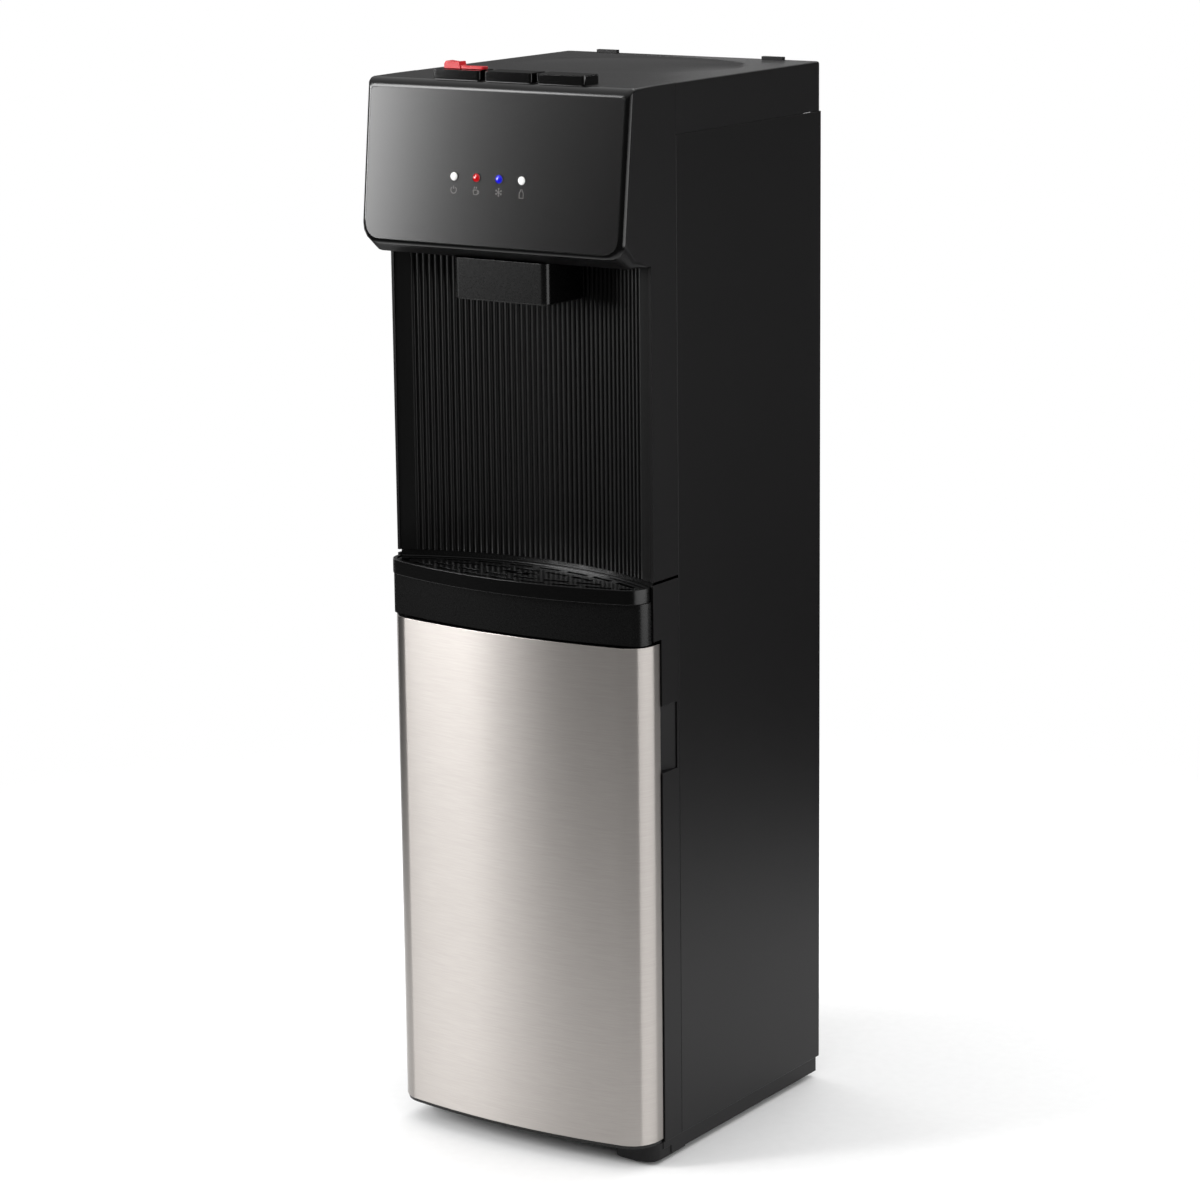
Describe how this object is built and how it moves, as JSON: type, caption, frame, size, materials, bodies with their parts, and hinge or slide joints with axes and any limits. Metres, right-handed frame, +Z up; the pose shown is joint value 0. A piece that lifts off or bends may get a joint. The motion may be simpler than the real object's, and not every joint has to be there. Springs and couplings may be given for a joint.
{
  "type": "bottom load water cooler",
  "caption": "Free-standing bottom load water cooler with a slanted control head, fluted alcove, lift-out drip tray and a bowed steel door over its bottle bay.",
  "frame": {"origin": "on the floor, under the middle of the overall box", "axes": "+Z up, the door and fascia face -Y, +X to the right of someone facing the front"},
  "size_m": [0.3, 0.357, 1.0663],
  "materials": {
    "black_moulding": "satin moulded black",
    "black_steel": "fine-textured black powder coat",
    "gloss_black": "glossy black",
    "deep_black_plastic": "semi-gloss black",
    "brushed_steel": "horizontal brushed grain",
    "plain_steel": "plain stainless",
    "galvanised_sheet": "zinc-coated sheet",
    "painted_shell": "black enamel",
    "magnet": "dull ferrite",
    "rubber": "matt black rubber",
    "foam": "expanded foam and felt",
    "circuit_board": "green solder mask",
    "silicone": "milky silicone",
    "copper": "drawn copper",
    "grey_plastic": "light grey",
    "green_plastic": "green rocker",
    "red_plastic": "translucent red",
    "clear_lens": "clear white lens",
    "red_lens": "red lens",
    "blue_lens": "blue lens"
  },
  "bodies": {
    "cabinet": {"base_pan": "black_moulding", "foot_front_left": "rubber", "foot_front_right": "rubber", "foot_rear_left": "rubber", "foot_rear_right": "rubber", "side_panel_left": "black_steel", "side_panel_right": "black_steel", "back_panel": "black_steel", "lower_front_frame": "black_moulding", "tray_housing": "deep_black_plastic", "door_magnet": "magnet", "upper_hinge_pin": "plain_steel", "lower_hinge_pin": "plain_steel", "bottle_bay_liner": "deep_black_plastic", "bottle_platform": "black_moulding", "mid_deck": "galvanised_sheet", "probe_hook": "deep_black_plastic", "probe_cap": "grey_plastic", "probe_tube": "plain_steel", "supply_hose": "silicone", "bulkhead_fitting": "grey_plastic", "pump": "grey_plastic", "compressor": "painted_shell", "filter_dryer": "copper", "tank_shelf": "galvanised_sheet", "cold_tank": "plain_steel", "cold_tank_insulation": "foam", "hot_tank": "plain_steel", "hot_tank_insulation": "foam", "power_board": "circuit_board", "condenser": "painted_shell", "cold_line": "silicone", "hot_line": "silicone", "mains_gland": "rubber", "drain_fitting": "grey_plastic", "switch_plate": "deep_black_plastic", "upper_front_frame": "black_moulding", "top_cover": "black_moulding", "alcove_liner": "deep_black_plastic", "spout_housing": "deep_black_plastic", "water_nozzle": "deep_black_plastic", "button_switch_board": "circuit_board", "fascia_panel": "gloss_black", "indicator_board": "circuit_board", "power_lens": "clear_lens", "hot_lens": "red_lens", "cold_lens": "blue_lens", "bottle_lens": "clear_lens"},
    "door": {"door_skin": "brushed_steel", "door_inner": "deep_black_plastic", "strike_plate": "plain_steel"},
    "hot_button_cap": {"hot_button": "gloss_black"},
    "room_button_cap": {"room_button": "gloss_black"},
    "cold_button_cap": {"cold_button": "gloss_black"},
    "lock": {"child_lock": "red_plastic"},
    "tray": {"drip_tray": "deep_black_plastic"},
    "grille": {"drip_grille": "deep_black_plastic"},
    "hot_rocker": {"hot_switch": "red_plastic"},
    "cold_rocker": {"cold_switch": "green_plastic"},
    "drain_cap_body": {"drain_cap": "deep_black_plastic"}
  },
  "joints": [
    {"name": "door_hinge", "type": "hinge", "parent": "cabinet", "child": "door", "pos_m": [-0.1406, -0.12602, 0.27], "axis": [0, 0, -1], "range_deg": [0, 105]},
    {"name": "hot_button_press", "type": "slide", "parent": "cabinet", "child": "hot_button_cap", "axis": [0, 0, -1], "range_m": [0, 0.005], "stiffness_N_per_m": 300, "springref_m": -0.004},
    {"name": "room_button_press", "type": "slide", "parent": "cabinet", "child": "room_button_cap", "axis": [0, 0, -1], "range_m": [0, 0.005], "stiffness_N_per_m": 300, "springref_m": -0.004},
    {"name": "cold_button_press", "type": "slide", "parent": "cabinet", "child": "cold_button_cap", "axis": [0, 0, -1], "range_m": [0, 0.005], "stiffness_N_per_m": 300, "springref_m": -0.004},
    {"name": "child_lock_slide", "type": "slide", "parent": "hot_button_cap", "child": "lock", "axis": [-1, 0, 0], "range_m": [0, 0.005]},
    {"name": "tray_lift", "type": "slide", "parent": "cabinet", "child": "tray", "axis": [0, 0, 1], "range_m": [0, 0.045]},
    {"name": "grille_lift", "type": "slide", "parent": "tray", "child": "grille", "axis": [0, 0, 1], "range_m": [0, 0.02]},
    {"name": "hot_switch_rock", "type": "hinge", "parent": "cabinet", "child": "hot_rocker", "pos_m": [0.082, 0.14948, 0.94], "axis": [1, 0, 0], "range_deg": [0, 14]},
    {"name": "cold_switch_rock", "type": "hinge", "parent": "cabinet", "child": "cold_rocker", "pos_m": [0.102, 0.14948, 0.94], "axis": [1, 0, 0], "range_deg": [0, 14]},
    {"name": "drain_cap_pull", "type": "slide", "parent": "cabinet", "child": "drain_cap_body", "axis": [0, 1, 0], "range_m": [0, 0.015]}
  ]
}
